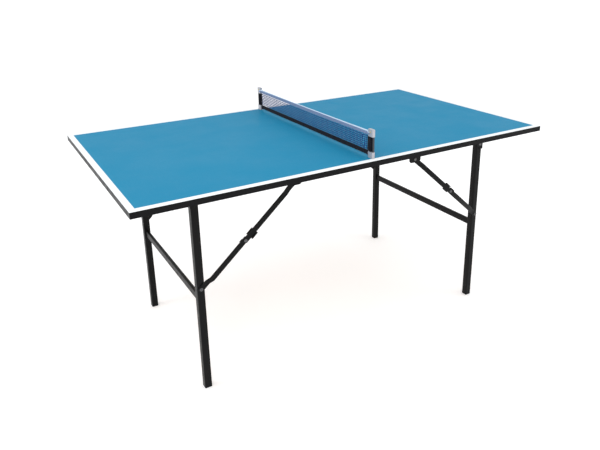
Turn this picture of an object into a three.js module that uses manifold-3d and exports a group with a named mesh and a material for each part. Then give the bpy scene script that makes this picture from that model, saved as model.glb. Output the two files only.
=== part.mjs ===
// Folding mid-size table tennis table: a painted board with a black edge band, two folding leg frames that
// nest inside each other, a two-bar folding stay on every leg, and a lift-off net set.
// Millimetres. X runs along the table, Y from the front side line to the rear one, Z up.
// The origin is on the floor under the middle of the net.
import * as THREE from "three";
import { mergeVertices } from "three/addons/utils/BufferGeometryUtils.js";
import Module from "manifold-3d";

const wasm = await Module();
wasm.setup();

// ---------------------------------------------------------------- driving dimensions
const GAP = 0.3; // clearance between neighbouring pieces

// table top
const TABLE_LENGTH = 1370;
const TABLE_WIDTH = 760;
const TABLE_HEIGHT = 630; // floor to playing surface
const TOP_THICKNESS = 18; // board with its painted face
const PAINT_THICKNESS = 1;
const LINE_WIDTH = 16; // white border line
const EDGE_BAND_THICKNESS = 1.7;

// leg frames
const LEG_INSET_X = 189; // table end to leg centre line
const LEG_INSET_Y_LEFT = 125; // side line to leg centre line, narrow frame
const LEG_INSET_Y_RIGHT = 99; // side line to leg centre line, wide frame
const LEG_WIDTH = 21;
const LEG_WALL = 1.5;
const LEG_CORNER_RADIUS = 2;
const LEG_ABOVE_PIVOT = 9;
const PIVOT_DROP = 37; // underside of the top to the leg and stay pivots
const CROSSBAR_WIDTH = 10;
const CROSSBAR_HEIGHT = 21;
const CROSSBAR_WALL = 1.2;
const CROSSBAR_BELOW_STAY = 36; // stay's lower rivet to the crossbar's centre line
const FOOT_CAP_FLANGE = 4;
const FOOT_CAP_PLUG = 16;
const FOOT_CAP_BEVEL = 1;

// leg brackets
const BRACKET_SHEET = 2;
const LEG_BRACKET_LENGTH = 60;
const LEG_BRACKET_FLANGE = 16; // beyond each cheek
const CHEEK_WIDTH = 22;
const CHEEK_BELOW_PIVOT = 12;
const CHEEK_CORNER_RADIUS = 9;
const CHEEK_GAP = 0.4; // leg face to each cheek and to the stop lip
const BRACKET_SCREW_HOLE = 4.5;
const BRACKET_SCREW_INSET = 8; // bracket end to screw
const STOP_LIP_CLEARANCE = 1.5; // lip to the leg's top corner as it swings past
const STOP_LIP_HEIGHT = 7.5;

// folding stays: two flat bars that meet at a middle rivet
const STAY_PIVOT_REACH = 290; // leg pivot to the stay bracket's pivot, along the board
const STAY_LEG_DROP = 255; // leg pivot to the stay's lower rivet, down the leg
const STAY_WIDTH = 16;
const STAY_THICKNESS = 2.5;
const STAY_LEG_GAP = 0.4; // leg face to the stay's lower end
const STAY_LEG_JOGGLE = 8; // sideways step near the leg
const JOGGLE_START = 26; // from a bar's end rivet
const JOGGLE_END = 40;
const STAY_BRACKET_LENGTH = 44;
const STAY_BRACKET_FLANGE = 24;
const STAY_BRACKET_BELOW_PIVOT = 10;
const STOP_TAB_LENGTH = 11;
const STOP_TAB_THICKNESS = 2;
const STOP_TAB_CLEARANCE = 0.4;
const THUMB_TAB_START = 15; // from the middle rivet
const THUMB_TAB_LENGTH = 23;
const THUMB_TAB_RISE = 4; // past each edge of the bar
const THUMB_TAB_REACH = 3;

// rivets
const LEG_RIVET_DIAMETER = 6;
const STAY_RIVET_DIAMETER = 5;
const RIVET_HOLE_CLEARANCE = 0.6; // on the diameter
const LEG_RIVET_HEAD = { diameter: 12, height: 3 };
const STAY_RIVET_HEAD = { diameter: 10, height: 2 };

// net set
const POST_DEPTH_X = 9.5;
const POST_DEPTH_Y = 22;
const POST_INSET = 14; // side edge of the top to the post's outer face
const POST_HEIGHT = 84;
const POST_BASE_HEIGHT = 18.5;
const POST_HEAD_HEIGHT = 21;
const POST_BACK_WIDTH = 5;
const POST_BACK_THICKNESS = 3;
const POST_CORNER_RADIUS = 1.5;
const POST_ROD_DIAMETER = 5;
const PEG_DIAMETER = 8;
const PEG_LENGTH = 12;
const PEG_CLEARANCE = 0.6; // on the diameter
const SLEEVE_DIAMETER = 12;
const SLEEVE_FLAP = 8; // past the post's inner face
const NET_THICKNESS = 1.2;
const NET_TAPE_THICKNESS = 2.4;
const NET_ABOVE_TABLE = 6;
const NET_BOTTOM_TAPE = 14;
const NET_TOP_TAPE = 13;
const NET_TOP_BELOW_POST = 6;

// fineness of round shapes
const ROUND_SEGMENTS = 12;
const CORNER_SEGMENTS = 3;
const BAR_END_SEGMENTS = 6;
const DOME_STEPS = 3;
const CUT_PAST = 1; // how far a cut runs past the faces it goes through

// ---------------------------------------------------------------- worked out from them
const TOP_UNDERSIDE = TABLE_HEIGHT - TOP_THICKNESS;
const PAINT_BOTTOM = TABLE_HEIGHT - PAINT_THICKNESS;
const BOARD_TOP = PAINT_BOTTOM - GAP;
const PIVOT_HEIGHT = TOP_UNDERSIDE - PIVOT_DROP;
const LEG_X = TABLE_LENGTH / 2 - LEG_INSET_X;
const CROSSBAR_HEIGHT_ABOVE_FLOOR = PIVOT_HEIGHT - STAY_LEG_DROP - CROSSBAR_BELOW_STAY;
const POST_Y = TABLE_WIDTH / 2 - POST_INSET - POST_DEPTH_Y / 2;
const STAY_LENGTH = Math.hypot(STAY_PIVOT_REACH, STAY_LEG_DROP);
// The bars fold flat on each other when their lengths differ by as much as the distances of the stay's end
// pivots from the leg pivot do.
const UPPER_BAR_LENGTH = (STAY_LENGTH + STAY_PIVOT_REACH - STAY_LEG_DROP) / 2;
const LOWER_BAR_LENGTH = STAY_LENGTH - UPPER_BAR_LENGTH;
const STAY_ANGLE = Math.atan2(STAY_LEG_DROP, STAY_PIVOT_REACH);
// Sideways places of the stay's layers, from the leg's outer face outwards.
const LOWER_END_LAYER = STAY_LEG_GAP;
const LOWER_BAR_LAYER = LOWER_END_LAYER + STAY_LEG_JOGGLE;
const UPPER_BAR_LAYER = LOWER_BAR_LAYER + STAY_THICKNESS + GAP;
const UPPER_END_LAYER = LOWER_BAR_LAYER;
const STAY_BRACKET_LAYER = UPPER_END_LAYER + STAY_THICKNESS + GAP;

const FRAMES = [
  { side: "left", sign: -1, legY: TABLE_WIDTH / 2 - LEG_INSET_Y_LEFT },
  { side: "right", sign: 1, legY: TABLE_WIDTH / 2 - LEG_INSET_Y_RIGHT },
];
const ROWS = [
  { row: "front", sign: -1 },
  { row: "rear", sign: 1 },
];

// ---------------------------------------------------------------- materials
const paint = (color, roughness, metalness) =>
  new THREE.MeshStandardMaterial({ color, roughness, metalness });
const materials = {
  board: paint(0x8a6b48, 0.8, 0),
  blueFace: paint(0x3a94bc, 0.45, 0),
  whiteLine: paint(0xf4f7f7, 0.5, 0),
  blackBand: paint(0x1d2023, 0.45, 0),
  blackSteel: paint(0x17191b, 0.4, 0.3),
  blackPlastic: paint(0x141414, 0.6, 0),
  rivetSteel: paint(0x3c3d3f, 0.4, 0.9),
  silverPost: paint(0xc3c5c8, 0.35, 0.6),
  netBlack: paint(0x10131c, 0.9, 0),
  netBlue: paint(0x1c2c55, 0.9, 0),
  netWhite: paint(0xdde6ee, 0.8, 0),
};

// ---------------------------------------------------------------- solids
// A closed three.js geometry as a solid that can be joined and cut.
function solid(geometry) {
  const bare = geometry.index ? geometry.toNonIndexed() : geometry.clone();
  bare.deleteAttribute("normal");
  bare.deleteAttribute("uv");
  const merged = mergeVertices(bare, 1e-4);
  return new wasm.Manifold(
    new wasm.Mesh({
      numProp: 3,
      vertProperties: new Float32Array(merged.attributes.position.array),
      triVerts: new Uint32Array(merged.index.array),
    }),
  );
}

// A solid back as a three.js geometry.
function geometryOf(made) {
  const mesh = made.getMesh();
  const geometry = new THREE.BufferGeometry();
  geometry.setAttribute("position", new THREE.BufferAttribute(mesh.vertProperties, 3));
  geometry.setIndex(new THREE.BufferAttribute(mesh.triVerts, 1));
  const flat = geometry.toNonIndexed();
  flat.computeVertexNormals();
  return flat;
}

function joined(solids) {
  return solids.reduce((all, next) => all.add(next));
}

function boxBetween([x0, y0, z0], [x1, y1, z1]) {
  const geometry = new THREE.BoxGeometry(x1 - x0, y1 - y0, z1 - z0);
  return geometry.translate((x0 + x1) / 2, (y0 + y1) / 2, (z0 + z1) / 2);
}

function roundedRectangle(width, height, radius, makePath = () => new THREE.Shape()) {
  const [x, y] = [width / 2 - radius, height / 2 - radius];
  const path = makePath();
  path.absarc(x, y, radius, 0, Math.PI / 2);
  path.absarc(-x, y, radius, Math.PI / 2, Math.PI);
  path.absarc(-x, -y, radius, Math.PI, 1.5 * Math.PI);
  path.absarc(x, -y, radius, 1.5 * Math.PI, 2 * Math.PI);
  path.closePath();
  return path;
}

function extruded(shape, depth, curveSegments = CORNER_SEGMENTS) {
  return new THREE.ExtrudeGeometry(shape, { depth, bevelEnabled: false, curveSegments });
}

// A tube of rounded rectangular section along +Z, open at both ends.
function rectangularTube(width, height, wall, radius, length) {
  const section = roundedRectangle(width, height, radius);
  const [boreWidth, boreHeight] = [width - 2 * wall, height - 2 * wall];
  section.holes.push(roundedRectangle(boreWidth, boreHeight, radius - wall / 2, () => new THREE.Path()));
  return extruded(section, length);
}

// A cylinder along Y between two places.
function cylinderAlongY(diameter, y0, y1, x = 0) {
  const geometry = new THREE.CylinderGeometry(diameter / 2, diameter / 2, y1 - y0, ROUND_SEGMENTS);
  return geometry.translate(x, (y0 + y1) / 2, 0);
}

function cylinderAlongZ(diameter, z0, z1, x = 0, y = 0) {
  const geometry = new THREE.CylinderGeometry(diameter / 2, diameter / 2, z1 - z0, ROUND_SEGMENTS);
  return geometry.rotateX(Math.PI / 2).translate(x, y, (z0 + z1) / 2);
}

// A rivet head's outline from its rim to its crown, which points to +Y or, with a side of -1, to -Y.
function domeOutline(head, y, side) {
  return Array.from({ length: DOME_STEPS + 1 }, (_, step) => {
    const turn = ((step / DOME_STEPS) * Math.PI) / 2;
    return [(head.diameter / 2) * Math.cos(turn), y + side * head.height * Math.sin(turn)];
  });
}

// A rivet along +Y: a shank between y0 and y1, with a domed head beyond y1 and, if asked for, beyond y0.
function rivet(diameter, head, y0, y1, { innerHead = true } = {}) {
  const shank = diameter / 2;
  const innerEnd = innerHead ? domeOutline(head, y0, -1).reverse() : [[0, y0]];
  const profile = [...innerEnd, [shank, y0], [shank, y1], ...domeOutline(head, y1, 1)];
  const points = profile.map(([r, y]) => new THREE.Vector2(r, y));
  return new THREE.LatheGeometry(points, ROUND_SEGMENTS);
}

// ---------------------------------------------------------------- table top
function topBoard() {
  const [x, y] = [TABLE_LENGTH / 2, TABLE_WIDTH / 2].map((half) => half - EDGE_BAND_THICKNESS - GAP);
  const blank = solid(boxBetween([-x, -y, TOP_UNDERSIDE], [x, y, BOARD_TOP]));
  return blank.subtract(joined(pegHoles(TABLE_HEIGHT - PEG_LENGTH - GAP)));
}

// The two blind holes that the net posts' pegs stand in, open upwards.
function pegHoles(bottom) {
  return ROWS.map(({ sign }) =>
    solid(cylinderAlongZ(PEG_DIAMETER + PEG_CLEARANCE, bottom, TABLE_HEIGHT + GAP, 0, sign * POST_Y)),
  );
}

function playingSurface() {
  const [x, y] = [TABLE_LENGTH / 2, TABLE_WIDTH / 2].map((half) => half - LINE_WIDTH - GAP);
  const blank = solid(boxBetween([-x, -y, PAINT_BOTTOM], [x, y, TABLE_HEIGHT]));
  return blank.subtract(joined(pegHoles(PAINT_BOTTOM - GAP)));
}

// Two places in rising order: an edge of the top, and the same edge moved inwards.
function fromEdge(sign, half, inwards) {
  return [sign * half, sign * (half - inwards)].sort((a, b) => a - b);
}

// The white line along a side, clear of the peg holes.
function sideLine(sign) {
  const x = TABLE_LENGTH / 2;
  const [y0, y1] = fromEdge(sign, TABLE_WIDTH / 2, LINE_WIDTH);
  const blank = solid(boxBetween([-x, y0, PAINT_BOTTOM], [x, y1, TABLE_HEIGHT]));
  return blank.subtract(joined(pegHoles(PAINT_BOTTOM - GAP)));
}

function endLine(sign) {
  const y = TABLE_WIDTH / 2 - LINE_WIDTH - GAP;
  const [x0, x1] = fromEdge(sign, TABLE_LENGTH / 2, LINE_WIDTH);
  return boxBetween([x0, -y, PAINT_BOTTOM], [x1, y, TABLE_HEIGHT]);
}

function sideBand(sign) {
  const x = TABLE_LENGTH / 2;
  const [y0, y1] = fromEdge(sign, TABLE_WIDTH / 2, EDGE_BAND_THICKNESS);
  return boxBetween([-x, y0, TOP_UNDERSIDE], [x, y1, BOARD_TOP]);
}

function endBand(sign) {
  const y = TABLE_WIDTH / 2 - EDGE_BAND_THICKNESS - GAP;
  const [x0, x1] = fromEdge(sign, TABLE_LENGTH / 2, EDGE_BAND_THICKNESS);
  return boxBetween([x0, -y, TOP_UNDERSIDE], [x1, y, BOARD_TOP]);
}

// ---------------------------------------------------------------- pieces of one corner
// A corner's own frame has its origin at the leg pivot. X points to the table's middle, Y outwards, Z up.
const LEG_FACE = LEG_WIDTH / 2;
const CHEEK_INNER = LEG_FACE + CHEEK_GAP;
const CHEEK_OUTER = CHEEK_INNER + BRACKET_SHEET;
const FLANGE_TOP = PIVOT_DROP - GAP;
const FLANGE_BOTTOM = FLANGE_TOP - BRACKET_SHEET;
const UPPER_BAR_OUTER = UPPER_BAR_LAYER + STAY_THICKNESS;

function legTube() {
  const length = PIVOT_HEIGHT + LEG_ABOVE_PIVOT - FOOT_CAP_FLANGE - GAP;
  const tube = solid(rectangularTube(LEG_WIDTH, LEG_WIDTH, LEG_WALL, LEG_CORNER_RADIUS, length));
  const hole = cylinderAlongY(LEG_RIVET_DIAMETER + RIVET_HOLE_CLEARANCE, -LEG_WIDTH, LEG_WIDTH);
  return tube.translate([0, 0, LEG_ABOVE_PIVOT - length]).subtract(solid(hole));
}

function footCap() {
  const bottom = LEG_WIDTH - 2 * FOOT_CAP_BEVEL;
  const chamfered = new THREE.ExtrudeGeometry(roundedRectangle(bottom, bottom, LEG_CORNER_RADIUS / 2), {
    depth: FOOT_CAP_FLANGE,
    bevelSize: FOOT_CAP_BEVEL,
    bevelThickness: FOOT_CAP_BEVEL,
    bevelSegments: 1,
    curveSegments: CORNER_SEGMENTS,
  });
  // Only the lower chamfer is wanted, so the block is cut off flat at the flange's height.
  const aboveFlange = boxBetween(
    [-LEG_WIDTH, -LEG_WIDTH, FOOT_CAP_FLANGE],
    [LEG_WIDTH, LEG_WIDTH, FOOT_CAP_FLANGE + LEG_WIDTH],
  );
  const flange = solid(chamfered.translate(0, 0, FOOT_CAP_BEVEL)).subtract(solid(aboveFlange));
  const bore = LEG_WIDTH - 2 * LEG_WALL - 2 * GAP;
  const plugTop = FOOT_CAP_FLANGE + FOOT_CAP_PLUG;
  const plug = extruded(roundedRectangle(bore, bore, LEG_CORNER_RADIUS / 2), plugTop - FOOT_CAP_BEVEL);
  return flange.add(solid(plug.translate(0, 0, FOOT_CAP_BEVEL))).translate([0, 0, -PIVOT_HEIGHT]);
}

// Screw holes through a bracket's flange, at each of the given places.
function screwHoles(places) {
  const [bottom, top] = [FLANGE_BOTTOM - CUT_PAST, FLANGE_TOP + CUT_PAST];
  return joined(places.map(([x, y]) => solid(cylinderAlongZ(BRACKET_SCREW_HOLE, bottom, top, x, y))));
}

// A folded sheet saddle with a base under the board, two cheeks beside the leg and a lip that stops the leg
// when it is upright.
function legBracket() {
  const halfLength = LEG_BRACKET_LENGTH / 2;
  const flangeEdge = CHEEK_OUTER + LEG_BRACKET_FLANGE;
  const base = boxBetween([-halfLength, -flangeEdge, FLANGE_BOTTOM], [halfLength, flangeEdge, FLANGE_TOP]);
  const [lipTop, lipOuter] = [-LEG_ABOVE_PIVOT - STOP_LIP_CLEARANCE, -CHEEK_OUTER];
  const lipBottom = lipTop - STOP_LIP_HEIGHT;
  const lipInner = lipOuter + BRACKET_SHEET;
  const lip = boxBetween([lipOuter, -CHEEK_OUTER, lipBottom], [lipInner, CHEEK_OUTER, lipTop]);
  const sides = [-CHEEK_OUTER, CHEEK_INNER].flatMap((y) => [
    cheekPlate(CHEEK_WIDTH, CHEEK_BELOW_PIVOT).translate(0, y, 0),
    boxBetween([lipOuter, y, lipBottom], [0, y + BRACKET_SHEET, 0]),
  ]);
  const [screwX, screwY] = [halfLength - BRACKET_SCREW_INSET, CHEEK_OUTER + LEG_BRACKET_FLANGE / 2];
  const corners = [-screwX, screwX].flatMap((x) => [-screwY, screwY].map((y) => [x, y]));
  const rivetHole = cylinderAlongY(LEG_RIVET_DIAMETER + RIVET_HOLE_CLEARANCE, -flangeEdge, flangeEdge);
  return joined([base, lip, ...sides].map(solid))
    .subtract(screwHoles(corners))
    .subtract(solid(rivetHole));
}

// A cheek from the flange down past a pivot at the origin, with round lower corners and one sheet thick
// along +Y.
function cheekPlate(width, belowPivot) {
  const [half, radius] = [width / 2, CHEEK_CORNER_RADIUS];
  const [top, arcHeight] = [FLANGE_BOTTOM + BRACKET_SHEET / 2, radius - belowPivot];
  const outline = new THREE.Shape();
  outline.moveTo(-half, top);
  outline.lineTo(-half, arcHeight);
  outline.absarc(radius - half, arcHeight, radius, Math.PI, 1.5 * Math.PI);
  outline.absarc(half - radius, arcHeight, radius, 1.5 * Math.PI, 2 * Math.PI);
  outline.lineTo(half, top);
  outline.closePath();
  const plate = extruded(outline, BRACKET_SHEET);
  return plate.rotateX(Math.PI / 2).translate(0, BRACKET_SHEET, 0);
}

function legRivet() {
  return rivet(LEG_RIVET_DIAMETER, LEG_RIVET_HEAD, -CHEEK_OUTER - GAP, CHEEK_OUTER + GAP);
}

// The angle bracket that holds the top of a stay, with its pivot at the origin along X and Z. Its cheek
// stands outside the stay's end, and its flange points outwards.
function stayBracket() {
  const halfLength = STAY_BRACKET_LENGTH / 2;
  const cheekY = LEG_FACE + STAY_BRACKET_LAYER;
  const flangeEdge = cheekY + STAY_BRACKET_FLANGE;
  const flange = boxBetween([-halfLength, cheekY, FLANGE_BOTTOM], [halfLength, flangeEdge, FLANGE_TOP]);
  const cheek = cheekPlate(STAY_BRACKET_LENGTH, STAY_BRACKET_BELOW_PIVOT).translate(0, cheekY, 0);
  const [screwX, screwY] = [halfLength - BRACKET_SCREW_INSET, cheekY + STAY_BRACKET_FLANGE / 2];
  const rivetHole = cylinderAlongY(STAY_RIVET_DIAMETER + RIVET_HOLE_CLEARANCE, 0, flangeEdge);
  return joined([flange, cheek].map(solid))
    .subtract(screwHoles([-screwX, screwX].map((x) => [x, screwY])))
    .subtract(solid(rivetHole));
}

// ---------------------------------------------------------------- folding stay
// A stay's own frame: origin at its lower rivet on the leg's outer face, X up along the stay, Y outwards,
// Z to the leg pivot's side.

// A strip with one sideways step, seen along Z: points run from end to end on the inner side, and back.
function steppedStrip(stations) {
  const outline = new THREE.Shape();
  stations.forEach(([x, y], i) => (i ? outline.lineTo(x, y) : outline.moveTo(x, y)));
  [...stations].reverse().forEach(([x, y]) => outline.lineTo(x, y + STAY_THICKNESS));
  outline.closePath();
  return solid(extruded(outline, 4 * STAY_WIDTH).translate(0, 0, -2 * STAY_WIDTH));
}

// A bar's outline seen along Y, with round ends, as a solid that cuts a strip to shape.
function barOutline(start, end) {
  const radius = STAY_WIDTH / 2;
  const outline = new THREE.Shape();
  outline.absarc(start, 0, radius, Math.PI / 2, 1.5 * Math.PI);
  outline.absarc(end, 0, radius, -Math.PI / 2, Math.PI / 2);
  outline.closePath();
  const prism = extruded(outline, UPPER_BAR_OUTER + 2 * CUT_PAST, BAR_END_SEGMENTS);
  return solid(prism.rotateX(Math.PI / 2).translate(0, UPPER_BAR_OUTER + CUT_PAST, 0));
}

function rivetHolesAlongY(places) {
  const diameter = STAY_RIVET_DIAMETER + RIVET_HOLE_CLEARANCE;
  return joined(places.map((x) => solid(cylinderAlongY(diameter, -CUT_PAST, UPPER_BAR_OUTER + CUT_PAST, x))));
}

function lowerBar() {
  const strip = steppedStrip([
    [-STAY_WIDTH, LOWER_END_LAYER],
    [JOGGLE_START, LOWER_END_LAYER],
    [JOGGLE_END, LOWER_BAR_LAYER],
    [LOWER_BAR_LENGTH + STAY_WIDTH, LOWER_BAR_LAYER],
  ]);
  const rivets = rivetHolesAlongY([0, LOWER_BAR_LENGTH]);
  return strip.intersect(barOutline(0, LOWER_BAR_LENGTH)).subtract(rivets);
}

function upperBar() {
  const [middle, edge] = [LOWER_BAR_LENGTH, STAY_WIDTH / 2];
  const strip = steppedStrip([
    [middle - 2 * STAY_WIDTH, UPPER_BAR_LAYER],
    [STAY_LENGTH - JOGGLE_END, UPPER_BAR_LAYER],
    [STAY_LENGTH - JOGGLE_START, UPPER_END_LAYER],
    [STAY_LENGTH + STAY_WIDTH, UPPER_END_LAYER],
  ]);
  const rivets = rivetHolesAlongY([middle, STAY_LENGTH]);
  const bar = strip.intersect(barOutline(middle, STAY_LENGTH)).subtract(rivets);
  // The stop tab reaches past the middle rivet and over the lower bar's edge, so that the stay can't open
  // past straight.
  const stopFloor = edge + STOP_TAB_CLEARANCE;
  const stopEnd = middle - STAY_RIVET_DIAMETER / 2 - RIVET_HOLE_CLEARANCE;
  const stopArm = boxBetween(
    [stopEnd - STOP_TAB_LENGTH, UPPER_BAR_LAYER, edge / 2],
    [middle + edge, UPPER_BAR_OUTER, stopFloor + STOP_TAB_THICKNESS],
  );
  const stopWeb = boxBetween(
    [stopEnd - STOP_TAB_LENGTH, LOWER_BAR_LAYER, stopFloor],
    [stopEnd, UPPER_BAR_OUTER, stopFloor + STOP_TAB_THICKNESS],
  );
  // The bar widens into a grip with two tabs turned outwards, pushed by a thumb to break the stay when the
  // legs fold.
  const gripStart = middle + THUMB_TAB_START;
  const gripEnd = gripStart + THUMB_TAB_LENGTH;
  const gripEdge = edge + THUMB_TAB_RISE;
  const grip = boxBetween([gripStart, UPPER_BAR_LAYER, -gripEdge], [gripEnd, UPPER_BAR_OUTER, gripEdge]);
  const tabs = [-gripEdge, gripEdge - STAY_THICKNESS].map((z) =>
    boxBetween(
      [gripStart, UPPER_BAR_LAYER, z],
      [gripEnd, UPPER_BAR_OUTER + THUMB_TAB_REACH, z + STAY_THICKNESS],
    ),
  );
  return joined([bar, ...[stopArm, stopWeb, grip, ...tabs].map(solid)]);
}

function middleRivet() {
  const y0 = LOWER_BAR_LAYER - GAP;
  const y1 = UPPER_BAR_OUTER + GAP;
  return rivet(STAY_RIVET_DIAMETER, STAY_RIVET_HEAD, y0, y1).translate(LOWER_BAR_LENGTH, 0, 0);
}

// The stay's lower rivet ends short of the leg, which leaves that pivot open.
function lowerRivet() {
  const y1 = LOWER_END_LAYER + STAY_THICKNESS + GAP;
  return rivet(STAY_RIVET_DIAMETER, STAY_RIVET_HEAD, LOWER_END_LAYER, y1, { innerHead: false });
}

function upperRivet() {
  const y0 = UPPER_END_LAYER - GAP;
  const y1 = STAY_BRACKET_LAYER + BRACKET_SHEET + GAP;
  return rivet(STAY_RIVET_DIAMETER, STAY_RIVET_HEAD, y0, y1).translate(STAY_LENGTH, 0, 0);
}

// ---------------------------------------------------------------- crossbar
function crossbar(legY) {
  const length = 2 * (legY - LEG_FACE - GAP);
  const tube = rectangularTube(CROSSBAR_WIDTH, CROSSBAR_HEIGHT, CROSSBAR_WALL, LEG_CORNER_RADIUS, length);
  return tube.translate(0, 0, -length / 2).rotateX(Math.PI / 2);
}

// ---------------------------------------------------------------- net set
// A post's own frame has its origin on the playing surface at the post's middle. Y points outwards, Z up.
const ROD_Y = -POST_BACK_THICKNESS / 2; // halfway between the post's inner face and its back plate
const POST_HEAD_BOTTOM = POST_HEIGHT - POST_HEAD_HEIGHT;
const SLEEVE_TOP = POST_HEAD_BOTTOM - GAP;
const FLAP_END = POST_DEPTH_Y / 2 + SLEEVE_FLAP;
const MESH_BOTTOM = NET_ABOVE_TABLE + NET_BOTTOM_TAPE;
const NET_TOP = POST_HEIGHT - NET_TOP_BELOW_POST;
const MESH_TOP = NET_TOP - NET_TOP_TAPE;

function netPost() {
  const [halfWidth, outerFace] = [POST_BACK_WIDTH / 2, POST_DEPTH_Y / 2];
  const section = roundedRectangle(POST_DEPTH_X, POST_DEPTH_Y, POST_CORNER_RADIUS);
  const block = (bottom, top) => extruded(section, top - bottom).translate(0, 0, bottom);
  // The back plate and the rod both run halfway into the base and the head.
  const [low, high] = [POST_BASE_HEIGHT / 2, POST_HEAD_BOTTOM + POST_HEAD_HEIGHT / 2];
  return joined(
    [
      block(GAP, POST_BASE_HEIGHT),
      block(POST_HEAD_BOTTOM, POST_HEIGHT),
      boxBetween([-halfWidth, outerFace - POST_BACK_THICKNESS, low], [halfWidth, outerFace, high]),
      cylinderAlongZ(POST_ROD_DIAMETER, low, high, 0, ROD_Y),
      cylinderAlongZ(PEG_DIAMETER, -PEG_LENGTH, low),
    ].map(solid),
  );
}

// The hem at the net's end that slides over the post's rod, with a flap to the mesh above the bottom tape.
function netSleeve() {
  const bottom = POST_BASE_HEIGHT + GAP;
  const tube = cylinderAlongZ(SLEEVE_DIAMETER, bottom, SLEEVE_TOP, 0, ROD_Y);
  const halfFlap = NET_TAPE_THICKNESS / 2;
  const flap = boxBetween([-halfFlap, -FLAP_END, MESH_BOTTOM], [halfFlap, ROD_Y, SLEEVE_TOP]);
  const boreDiameter = POST_ROD_DIAMETER + 2 * GAP;
  const bore = cylinderAlongZ(boreDiameter, bottom - CUT_PAST, SLEEVE_TOP + CUT_PAST, 0, ROD_Y);
  return joined([tube, flap].map(solid)).subtract(solid(bore));
}

// A strip of the net from one post's inner face to the other's, less a margin at each end.
function netStrip(thickness, bottom, top, margin = 0) {
  const halfLength = POST_Y - POST_DEPTH_Y / 2 - 2 * GAP - margin;
  const [z0, z1] = [TABLE_HEIGHT + bottom, TABLE_HEIGHT + top];
  return boxBetween([-thickness / 2, -halfLength, z0], [thickness / 2, halfLength, z1]);
}

// The mesh ends at the sleeves' flaps, and above the sleeves it reaches on to the posts' heads.
function netMesh() {
  const aboveSleeves = Math.min(SLEEVE_TOP + GAP, MESH_TOP - GAP);
  const strips = [
    netStrip(NET_THICKNESS, MESH_BOTTOM, MESH_TOP, SLEEVE_FLAP),
    netStrip(NET_THICKNESS, aboveSleeves, MESH_TOP),
  ];
  return joined(strips.map(solid));
}

// ---------------------------------------------------------------- assembly
function piece(name, shape, material) {
  const geometry = shape.isBufferGeometry ? shape : geometryOf(shape);
  const mesh = new THREE.Mesh(geometry, material);
  mesh.name = name;
  return mesh;
}

function tableTop() {
  const group = new THREE.Group();
  group.add(piece("top_board", topBoard(), materials.board));
  group.add(piece("playing_surface", playingSurface(), materials.blueFace));
  for (const { row, sign } of ROWS) {
    group.add(piece(`border_line_${row}`, sideLine(sign), materials.whiteLine));
    group.add(piece(`edge_band_${row}`, sideBand(sign), materials.blackBand));
  }
  for (const { side, sign } of FRAMES) {
    group.add(piece(`border_line_${side}`, endLine(sign), materials.whiteLine));
    group.add(piece(`edge_band_${side}`, endBand(sign), materials.blackBand));
  }
  return group;
}

function stay(corner) {
  const group = new THREE.Group();
  group.position.set(0, LEG_FACE, -STAY_LEG_DROP);
  group.rotation.y = -STAY_ANGLE;
  group.add(piece(`stay_lower_bar_${corner}`, lowerBar(), materials.blackSteel));
  group.add(piece(`stay_upper_bar_${corner}`, upperBar(), materials.blackSteel));
  group.add(piece(`stay_lower_rivet_${corner}`, lowerRivet(), materials.rivetSteel));
  group.add(piece(`stay_middle_rivet_${corner}`, middleRivet(), materials.rivetSteel));
  group.add(piece(`stay_upper_rivet_${corner}`, upperRivet(), materials.rivetSteel));
  return group;
}

// One leg with everything that sits at its corner of the table.
function cornerOf(frame, row) {
  const corner = `${frame.side}_${row.row}`;
  const group = new THREE.Group();
  group.position.set(frame.sign * LEG_X, row.sign * frame.legY, PIVOT_HEIGHT);
  group.scale.set(-frame.sign, row.sign, 1);
  group.add(piece(`leg_${corner}`, legTube(), materials.blackSteel));
  group.add(piece(`foot_cap_${corner}`, footCap(), materials.blackPlastic));
  group.add(piece(`leg_bracket_${corner}`, legBracket(), materials.blackSteel));
  group.add(piece(`leg_rivet_${corner}`, legRivet(), materials.rivetSteel));
  const bracket = piece(`stay_bracket_${corner}`, stayBracket(), materials.blackSteel);
  bracket.position.x = STAY_PIVOT_REACH;
  group.add(bracket);
  group.add(stay(corner));
  return group;
}

function legFrame(frame) {
  const group = new THREE.Group();
  ROWS.forEach((row) => group.add(cornerOf(frame, row)));
  const bar = piece(`crossbar_${frame.side}`, crossbar(frame.legY), materials.blackSteel);
  bar.position.set(frame.sign * LEG_X, 0, CROSSBAR_HEIGHT_ABOVE_FLOOR);
  group.add(bar);
  return group;
}

function netSet() {
  const group = new THREE.Group();
  for (const { row, sign } of ROWS) {
    const end = new THREE.Group();
    end.position.set(0, sign * POST_Y, TABLE_HEIGHT);
    end.scale.y = sign;
    end.add(piece(`net_post_${row}`, netPost(), materials.silverPost));
    end.add(piece(`net_sleeve_${row}`, netSleeve(), materials.netBlack));
    group.add(end);
  }
  const bottomTape = netStrip(NET_TAPE_THICKNESS, NET_ABOVE_TABLE, MESH_BOTTOM - GAP);
  const topTape = netStrip(NET_TAPE_THICKNESS, MESH_TOP + GAP, NET_TOP);
  group.add(piece("net_bottom_tape", bottomTape, materials.netBlack));
  group.add(piece("net_mesh", netMesh(), materials.netBlue));
  group.add(piece("net_top_tape", topTape, materials.netWhite));
  return group;
}

const table = new THREE.Group();
table.add(tableTop());
FRAMES.forEach((frame) => table.add(legFrame(frame)));
table.add(netSet());

export default table;
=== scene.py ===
import math

import bmesh
import bpy
from mathutils import Matrix, Vector, noise


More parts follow.
